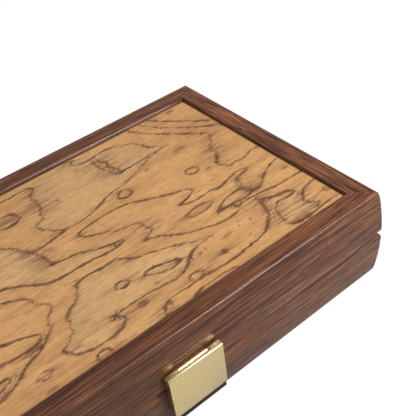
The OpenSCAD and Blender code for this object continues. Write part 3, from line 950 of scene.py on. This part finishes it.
def screws(half, material):
    """All countersunk screws of one half, with crossed slots in their heads."""
    outline = [(0, -SCREW_L), (0.4 * SCREW_R, -SCREW_L + 0.5 * MM), (SCREW_R, -SCREW_L + 2 * MM),
               (SCREW_R, SCREW_R - SCREW_HEAD_R), (SCREW_HEAD_R - 0.1 * MM, -0.1 * MM),
               (SCREW_HEAD_R - 0.16 * MM, -0.03 * MM), (SCREW_HEAD_R - 0.3 * MM, 0), (0, 0)]
    bodies, slots = bmesh.new(), bmesh.new()

    def gather(piece, place, group):
        piece.data.transform(place)
        group.from_mesh(piece.data)
        bpy.data.objects.remove(piece)

    for place in screw_places(half):
        turned = place @ Matrix.Rotation(place.translation.x * SCREW_TURN, 4, "Z")
        gather(lathe(outline, (0, 0, 0), "screw", 40), turned, bodies)
        for reach, width in ((SLOT_HALF_L, SLOT_HALF_W), (SLOT_HALF_W, SLOT_HALF_L)):
            gather(block((-reach, -width, -SLOT_D), (reach, width, SLOT_D)), turned, slots)
    piece = finish_mesh(f"{half}_screws_crossed", bodies)
    cut(piece, [finish_mesh("slots", slots)], use_self=True)
    smooth(piece)
    dress(piece, material, f"{half}_screws", half)


def make_metal():
    """The latch, the hinges and the screws."""
    brass = brushed_brass("latch_brass", LATCH_BRASS, 0.27)
    latch_flap(brass)
    latch_lip()
    for node in ("latch_plate", "latch_catch", "hinge_leaves_base", "hinge_leaves_lid"):
        dress(frame["nodes"][node], brass)
    screw_brass = brushed_brass("screw_brass", SCREW_BRASS, 0.2)
    for half in HALVES:
        screws(half, screw_brass)
    wire = steel("wire_steel")
    for node in ("latch_pin", "latch_spring", "hinge_pins"):
        dress(frame["nodes"][node], wire)


# ---- Playing fields, checkers and dice -------------------------------------

def make_fields():
    field = straight_wood("field_wood", 0, FIELD_TONES, gloss=0.4)
    pale = straight_wood("point_pale", 0, PALE_POINT_TONES, gloss=0.4, seed=0.2)
    deep = straight_wood("point_deep", 0, DARK_POINT_TONES, gloss=0.4, seed=0.5)
    for half in HALVES:
        dress(frame["nodes"][f"{half}_field"], field)
        dress(frame["nodes"][f"{half}_points_light"], pale)
        dress(frame["nodes"][f"{half}_points_dark"], deep)


CHECKER_EASE = 0.9 * MM
DISH_D = 0.7 * MM
RING_D = 0.25 * MM


def checker_outline(radius, height):
    """Half section of a checker: shallow dish, fine ring and eased rim on both faces."""
    dish = 0.33 * radius
    face = [(0, -DISH_D), (dish * 0.6, -DISH_D), (dish, -DISH_D * 0.75), (dish + DISH_D, -DISH_D * 0.1),
            (dish + 1.4 * DISH_D, 0), (radius * 0.78, 0), (radius * 0.8, -RING_D), (radius * 0.82, 0)]
    face += [(radius - CHECKER_EASE * (1 - math.sin(a)), -CHECKER_EASE * (1 - math.cos(a)))
             for a in arc(6)]
    bottom = [(r, -z) for r, z in face]
    top = [(r, height + z) for r, z in reversed(face)]
    return bottom + top


def make_checkers():
    woods = {
        "light": ("checker_pale", straight_wood("checker_pale", 0, PALE_CHECKER_TONES, 0.3, 0.9)),
        "dark": ("checker_deep", straight_wood("checker_deep", 0, DARK_CHECKER_TONES, 0.3, 1.3)),
    }
    for node in [name for name in frame["nodes"] if name.startswith("checker_")]:
        slot, wood = woods[node.split("_")[1]]
        low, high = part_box(node)
        centre = ((low.x + high.x) / 2, (low.y + high.y) / 2, low.z)
        outline = checker_outline((high.x - low.x) / 2, high.z - low.z)
        dress(lathe(outline, centre, node + "_turned", 64), wood, node, node)


DIE_EDGE_R = 1.1 * MM
# A pip is the cap of a ball whose middle lies a little above the face.
PIP_RISE = 0.35 * MM
PIP_R = 0.8 * MM
PIP_STEP = 2.6 * MM
IVORY = (0.78, 0.72, 0.58)
PIP_BLACK = (0.02, 0.018, 0.018)
DICE_TURNS = {"die_1": 20.0, "die_2": -35.0}
PIP_SPOTS = {
    1: [(0, 0)], 2: [(-1, -1), (1, 1)], 3: [(-1, -1), (0, 0), (1, 1)],
    4: [(-1, -1), (-1, 1), (1, -1), (1, 1)], 5: [(-1, -1), (-1, 1), (0, 0), (1, -1), (1, 1)],
    6: [(-1, -1), (-1, 0), (-1, 1), (1, -1), (1, 0), (1, 1)],
}
# Number on a face, and the axis and angle that turn the top face to it.
PIP_FACES = [(1, "X", 0), (6, "X", 180), (2, "X", 90), (5, "X", -90), (3, "Y", 90), (4, "Y", -90)]


def die(node, turn, body, dot):
    """A die with rounded edges and dark, hollowed pips."""
    low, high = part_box(node)
    half = (high.z - low.z) / 2
    place = Matrix.Translation((low + high) / 2) @ Matrix.Rotation(math.radians(turn), 4, "Z")
    maker = bmesh.new()
    bmesh.ops.create_cube(maker, size=2 * half)
    bmesh.ops.bevel(maker, geom=maker.edges[:], offset=DIE_EDGE_R, segments=5, profile=0.5,
                    affect="EDGES")
    bmesh.ops.transform(maker, matrix=place, verts=maker.verts)
    piece = finish_mesh(f"{node}_ivory", maker, 60.0)
    piece.data.materials.append(body)
    hollows = bmesh.new()
    for number, axis, angle in PIP_FACES:
        to_face = Matrix.Rotation(math.radians(angle), 4, axis)
        for column, row in PIP_SPOTS[number]:
            spot = Matrix.Translation((column * PIP_STEP, row * PIP_STEP, half + PIP_RISE))
            bmesh.ops.create_uvsphere(hollows, u_segments=20, v_segments=12, radius=PIP_R,
                                      matrix=place @ to_face @ spot)
    cutter = finish_mesh("pips", hollows)
    cutter.data.materials.append(dot)
    cut(piece, [cutter], material_mode="TRANSFER")
    smooth(piece, 40.0)
    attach(piece, node)
    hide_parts(node)


def make_dice():
    body = ivory("die_ivory", IVORY)
    dot = ivory("die_pip", PIP_BLACK)
    for node, turn in DICE_TURNS.items():
        die(node, turn, body, dot)


# ---- Studio: floor, light and camera ----------------------------------------

FLOOR_HALF = 4.0
FLOOR_GREYS = ((0.46, 0.46, 0.46), (0.5, 0.5, 0.5))
# How much of the floor the camera sees as plain white, how bright that white is, and how
# brightly the surround lights the case.
WHITE_SHARE = 0.88
WHITE_LEVEL = 1.08
SURROUND_LEVEL = 0.42
# Softboxes: direction from the case, distance and size in metres, and power in watts.
SOFTBOXES = {
    "key": ((0.43, -0.57, 0.76), 0.95, (0.3, 0.95), 8.0),
    "edge": ((0.43, -0.62, 0.66), 1.1, (0.22, 0.45), 3.6),
    "fill": ((-0.2, 0.3, 0.9), 1.4, (0.9, 0.9), 2.5),
}


def white_paper(name):
    """Matt paper that the camera sees as nearly plain white."""
    shader = Shader(name)
    fibre = shader.noise(shader.place(), 900.0)
    shader.set(Base_Color=shader.mix(fibre, *FLOOR_GREYS), Roughness=0.9)
    seen = shader.node("ShaderNodeLightPath").outputs["Is Camera Ray"]
    glow = shader.node("ShaderNodeEmission", (1.0, 1.0, 1.0, 1.0), WHITE_LEVEL).outputs[0]
    mixed = shader.node("ShaderNodeMixShader", shader.times(seen, WHITE_SHARE),
                        shader.surface.outputs[0], glow)
    output = shader.tree.nodes["Material Output"]
    shader.tree.links.new(mixed.outputs[0], output.inputs["Surface"])
    return shader.material


def make_world():
    """An even studio surround, plain white where the camera looks past the floor."""
    world = bpy.data.worlds.new("studio")
    bpy.context.scene.world = world
    world.use_nodes = True
    tree = world.node_tree
    background = tree.nodes["Background"]
    background.inputs["Color"].default_value = (1.0, 1.0, 1.0, 1.0)
    seen = tree.nodes.new("ShaderNodeLightPath").outputs["Is Camera Ray"]
    level = tree.nodes.new("ShaderNodeMapRange")
    level.inputs["To Min"].default_value = SURROUND_LEVEL
    level.inputs["To Max"].default_value = 1.0
    tree.links.new(seen, level.inputs["Value"])
    tree.links.new(level.outputs["Result"], background.inputs["Strength"])


def softbox(name, direction, distance, size, energy):
    """A rectangular lamp that faces the case."""
    light = bpy.data.lights.new(name, "AREA")
    light.shape = "RECTANGLE"
    light.size, light.size_y = size
    light.energy = energy
    lamp = bpy.data.objects.new(name, light)
    lamp.location = Vector(direction).normalized() * distance
    lamp.rotation_euler = Vector(direction).to_track_quat("Z", "Y").to_euler()
    bpy.context.scene.collection.objects.link(lamp)


def make_studio():
    maker = bmesh.new()
    bmesh.ops.create_grid(maker, x_segments=8, y_segments=8, size=FLOOR_HALF)
    floor = finish_mesh("floor", maker)
    floor.data.materials.append(white_paper("paper_white"))
    make_world()
    for name, settings in SOFTBOXES.items():
        softbox(name, *settings)


# Where the camera stands, which way it looks in degrees, and its lens in millimetres.
CAMERA_AT = (-99.64 * MM, -262.18 * MM, 301.26 * MM)
CAMERA_TURN = -34.647
CAMERA_DOWN = 40.312
CAMERA_ROLL = -7.527
CAMERA_LENS = 59.18
SENSOR_W = 36.0


def make_camera():
    camera = bpy.data.cameras.new("camera")
    camera.lens = CAMERA_LENS
    camera.sensor_width = SENSOR_W
    camera.clip_start = 10 * MM
    eye = bpy.data.objects.new("camera", camera)
    turn, down, roll = (math.radians(a) for a in (CAMERA_TURN, CAMERA_DOWN, CAMERA_ROLL))
    back = Vector((math.sin(turn) * math.cos(down), -math.cos(turn) * math.cos(down), math.sin(down)))
    right = (-back).cross(Vector((0, 0, 1))).normalized()
    up = right.cross(-back)
    level_right = math.cos(roll) * right + math.sin(roll) * up
    level_up = -math.sin(roll) * right + math.cos(roll) * up
    axes = Matrix((level_right, level_up, back)).transposed()
    eye.matrix_world = Matrix.Translation(CAMERA_AT) @ axes.to_4x4()
    bpy.context.scene.collection.objects.link(eye)
    bpy.context.scene.camera = eye
    bpy.context.scene.view_settings.view_transform = "Standard"


make_camera()
make_studio()
make_rails()
burl = burl_veneer("burl_veneer")
for half in HALVES:
    burl_panel(half, burl)
make_metal()
make_fields()
make_checkers()
make_dice()
